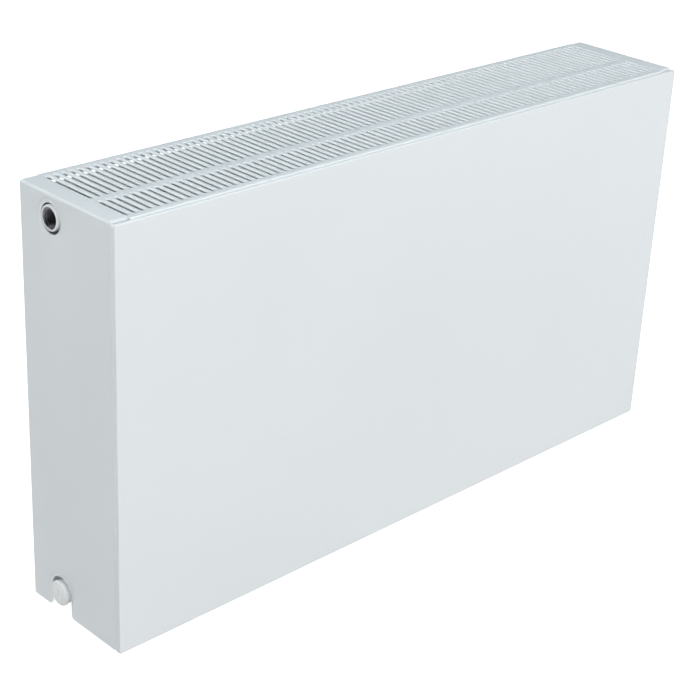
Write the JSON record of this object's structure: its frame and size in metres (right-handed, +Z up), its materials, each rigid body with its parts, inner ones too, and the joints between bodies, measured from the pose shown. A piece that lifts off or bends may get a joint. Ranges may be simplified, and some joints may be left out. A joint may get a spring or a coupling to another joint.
{
  "type": "panel radiator with built-in valve",
  "caption": "Flat-front steel panel radiator with slotted top grille, folded side covers, layered water panels and convectors, and a built-in valve insert under a screw cap.",
  "frame": {"origin": "on the floor under the middle of the casing's footprint", "axes": "+X along the radiator to the right as seen from the room, +Y from the room to the wall, +Z up"},
  "size_m": [0.9196, 0.1665, 0.5],
  "materials": {
    "white_enamel": "satin white enamel",
    "panel_enamel": "satin white enamel over pressed sheet",
    "white_plastic": "smooth moulded plastic",
    "cap_plastic": "ribbed moulded plastic",
    "ring_plastic": "moulded plastic",
    "brass": "machined brass",
    "bare_steel": "bright zinc-plated steel",
    "spring_steel": "drawn wire",
    "rubber": "moulded seal",
    "adhesive": "cured adhesive"
  },
  "bodies": {
    "radiator": {"front_plate": "white_enamel", "front_panel_front_shell": "panel_enamel", "front_panel_back_shell": "panel_enamel", "middle_panel_front_shell": "panel_enamel", "middle_panel_back_shell": "panel_enamel", "rear_panel_front_shell": "panel_enamel", "rear_panel_back_shell": "panel_enamel", "front_convector": "panel_enamel", "middle_convector": "panel_enamel", "rear_convector": "panel_enamel", "upper_left_tee": "panel_enamel", "lower_left_tee": "panel_enamel", "lower_right_tee": "panel_enamel", "lower_left_link_pipe": "panel_enamel", "upper_left_link_pipe": "panel_enamel", "lower_right_link_pipe": "panel_enamel", "upper_right_link_pipe": "panel_enamel", "valve_housing": "panel_enamel", "riser_pipe": "panel_enamel", "connector_stay": "panel_enamel", "hanger_lugs": "panel_enamel", "valve_insert_body": "brass", "valve_cage": "brass", "gland_nut": "brass", "flow_connector": "bare_steel", "return_connector": "bare_steel", "return_spring": "spring_steel", "grille_clips": "spring_steel", "left_cover_clips": "spring_steel", "right_cover_clips": "spring_steel", "left_plug_o_ring": "rubber", "right_plug_o_ring": "rubber", "insert_o_ring": "rubber", "stem_seal": "rubber", "bond_strips": "adhesive"},
    "grille": {"top_grille": "white_enamel"},
    "left_cover": {"left_side_cover": "white_enamel"},
    "right_cover": {"right_side_cover": "white_enamel"},
    "left_plug": {"left_blanking_plug": "white_plastic"},
    "right_plug": {"right_blanking_plug": "white_plastic"},
    "cap": {"protective_cap": "cap_plastic"},
    "setting_ring": {"presetting_ring": "ring_plastic"},
    "stem": {"valve_stem": "bare_steel", "valve_disc": "rubber"}
  },
  "joints": [
    {"name": "grille_lift", "type": "slide", "parent": "radiator", "child": "grille", "axis": [0, 0, 1], "range_m": [0, 0.06]},
    {"name": "left_cover_slide", "type": "slide", "parent": "radiator", "child": "left_cover", "axis": [-1, 0, 0], "range_m": [0, 0.06]},
    {"name": "right_cover_slide", "type": "slide", "parent": "radiator", "child": "right_cover", "axis": [1, 0, 0], "range_m": [0, 0.06]},
    {"name": "left_plug_turn", "type": "hinge", "parent": "radiator", "child": "left_plug", "pos_m": [-0.4526, 0.025, 0.028], "axis": [-1, 0, 0], "range_deg": [0, 1620]},
    {"name": "right_plug_turn", "type": "hinge", "parent": "radiator", "child": "right_plug", "pos_m": [0.4526, 0.025, 0.028], "axis": [1, 0, 0], "range_deg": [0, 1620]},
    {"name": "cap_turn", "type": "hinge", "parent": "radiator", "child": "cap", "pos_m": [0.44, 0.025, 0.474], "axis": [-1, 0, 0], "range_deg": [0, 720]},
    {"name": "setting_turn", "type": "hinge", "parent": "radiator", "child": "setting_ring", "pos_m": [0.44, 0.025, 0.474], "axis": [1, 0, 0], "range_deg": [0, 315]},
    {"name": "stem_press", "type": "slide", "parent": "radiator", "child": "stem", "axis": [-1, 0, 0], "range_m": [0, 0.0029], "deforming": ["return_spring"]}
  ],
  "couplings": [
    {"joint": "cap_turn", "follows": "stem_press", "rad_per_m": 4333.2}
  ]
}
